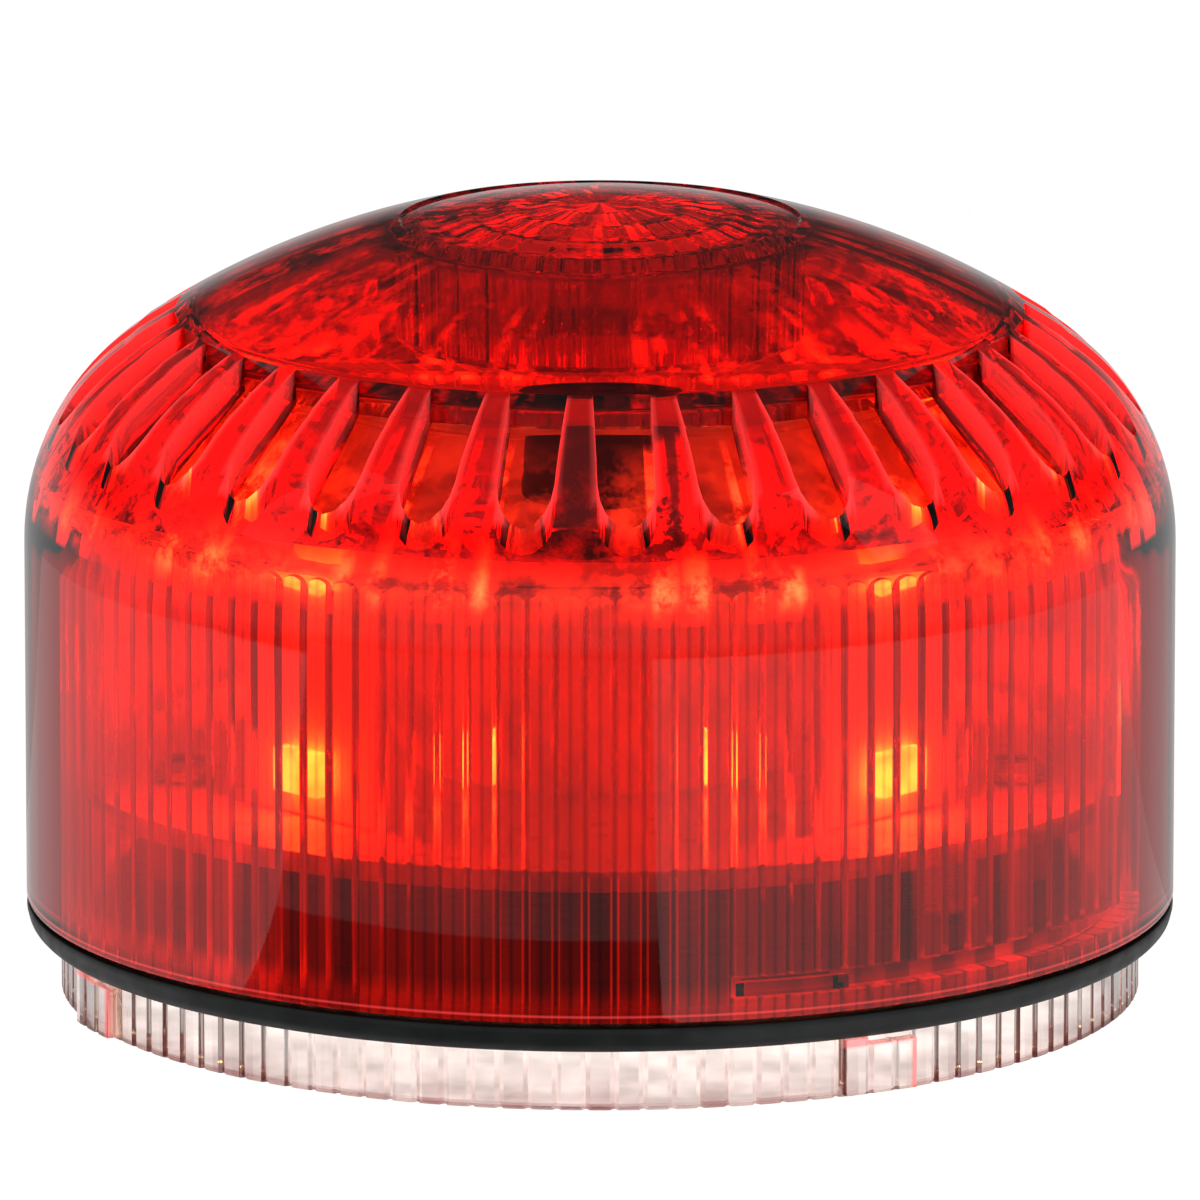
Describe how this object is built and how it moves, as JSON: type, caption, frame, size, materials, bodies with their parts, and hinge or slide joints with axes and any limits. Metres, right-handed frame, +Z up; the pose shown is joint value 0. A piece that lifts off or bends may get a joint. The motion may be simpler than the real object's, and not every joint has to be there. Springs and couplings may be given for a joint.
{
  "type": "horn strobe",
  "caption": "Round signalling module with a finned red dome over a clear fluted body, LED boards and a sounder inside, and a twist-lock ring below.",
  "frame": {"origin": "centre of the clear body's bottom rim", "axes": "+Z up along the dome's axis; the front faces -Y"},
  "size_m": [0.09, 0.09, 0.0627],
  "materials": {
    "red_lens": "polished clear red polycarbonate, lit from inside",
    "clear_plastic": "clear moulded polycarbonate with fine flutes",
    "gasket_rubber": "satin black rubber",
    "white_plastic": "matt white moulded plastic",
    "white_board": "circuit board with white solder mask",
    "green_board": "circuit board with green solder mask",
    "black_plastic": "black moulded plastic",
    "ferrite": "dark grey sintered ferrite",
    "capacitor": "aluminium can on a black base",
    "brass": "thin brass disc",
    "blue_plastic": "blue moulded plastic",
    "white_lever": "white moulded plastic",
    "gold_plate": "gold plated contact",
    "steel": "bright steel",
    "led": "warm phosphor in clear resin, lit"
  },
  "bodies": {
    "housing": {"clear_body": "clear_plastic", "gasket": "gasket_rubber", "base_plate": "white_plastic", "light_guide": "white_plastic", "lower_board": "green_board", "main_board": "white_board", "top_board": "white_board", "contact_carrier": "black_plastic", "sounder_case": "black_plastic", "sounder_cap": "black_plastic", "sounder_core": "ferrite", "sounder_diaphragm": "brass", "tone_switch_body": "blue_plastic", "volume_trimmer_body": "blue_plastic", "inductor": "ferrite", "driver_chip": "black_plastic", "contact_spring_1": "steel", "led_board_1": "white_board", "led_low_1": "led", "led_high_1": "led", "contact_spring_2": "steel", "led_board_2": "white_board", "led_low_2": "led", "led_high_2": "led", "contact_spring_3": "steel", "led_board_3": "white_board", "led_low_3": "led", "led_high_3": "led", "contact_spring_4": "steel", "led_board_4": "white_board", "led_low_4": "led", "led_high_4": "led", "board_screw_1": "steel", "capacitor_1": "capacitor", "board_screw_2": "steel", "capacitor_2": "capacitor", "board_screw_3": "steel", "capacitor_3": "capacitor", "pin_header_1": "black_plastic", "pin_header_2": "black_plastic"},
    "dome": {"dome_lens": "red_lens"},
    "contact_1": {"contact_plunger_1": "gold_plate"},
    "contact_2": {"contact_plunger_2": "gold_plate"},
    "contact_3": {"contact_plunger_3": "gold_plate"},
    "contact_4": {"contact_plunger_4": "gold_plate"},
    "tone_lever_1": {"tone_switch_lever_1": "white_lever"},
    "tone_lever_2": {"tone_switch_lever_2": "white_lever"},
    "tone_lever_3": {"tone_switch_lever_3": "white_lever"},
    "tone_lever_4": {"tone_switch_lever_4": "white_lever"},
    "volume_rotor": {"volume_trimmer_rotor": "white_lever"}
  },
  "joints": [
    {"name": "dome_twist", "type": "hinge", "parent": "housing", "child": "dome", "pos_m": [0, 0, 0.0095], "axis": [0, 0, 1], "range_deg": [0, 55]},
    {"name": "contact_press_1", "type": "slide", "parent": "housing", "child": "contact_1", "axis": [0, 0, 1], "range_m": [0, 0.0015], "stiffness_N_per_m": 600, "springref_m": -0.0005, "deforming": ["contact_spring_1"]},
    {"name": "contact_press_2", "type": "slide", "parent": "housing", "child": "contact_2", "axis": [0, 0, 1], "range_m": [0, 0.0015], "stiffness_N_per_m": 600, "springref_m": -0.0005, "deforming": ["contact_spring_2"]},
    {"name": "contact_press_3", "type": "slide", "parent": "housing", "child": "contact_3", "axis": [0, 0, 1], "range_m": [0, 0.0015], "stiffness_N_per_m": 600, "springref_m": -0.0005, "deforming": ["contact_spring_3"]},
    {"name": "contact_press_4", "type": "slide", "parent": "housing", "child": "contact_4", "axis": [0, 0, 1], "range_m": [0, 0.0015], "stiffness_N_per_m": 600, "springref_m": -0.0005, "deforming": ["contact_spring_4"]},
    {"name": "tone_set_1", "type": "slide", "parent": "housing", "child": "tone_lever_1", "axis": [0, 1, 0], "range_m": [0, 0.001]},
    {"name": "tone_set_2", "type": "slide", "parent": "housing", "child": "tone_lever_2", "axis": [0, 1, 0], "range_m": [0, 0.001]},
    {"name": "tone_set_3", "type": "slide", "parent": "housing", "child": "tone_lever_3", "axis": [0, 1, 0], "range_m": [0, 0.001]},
    {"name": "tone_set_4", "type": "slide", "parent": "housing", "child": "tone_lever_4", "axis": [0, 1, 0], "range_m": [0, 0.001]},
    {"name": "volume_turn", "type": "hinge", "parent": "housing", "child": "volume_rotor", "pos_m": [0, -0.022, 0.0065], "axis": [0, 0, 1], "range_deg": [-135, 135]}
  ]
}
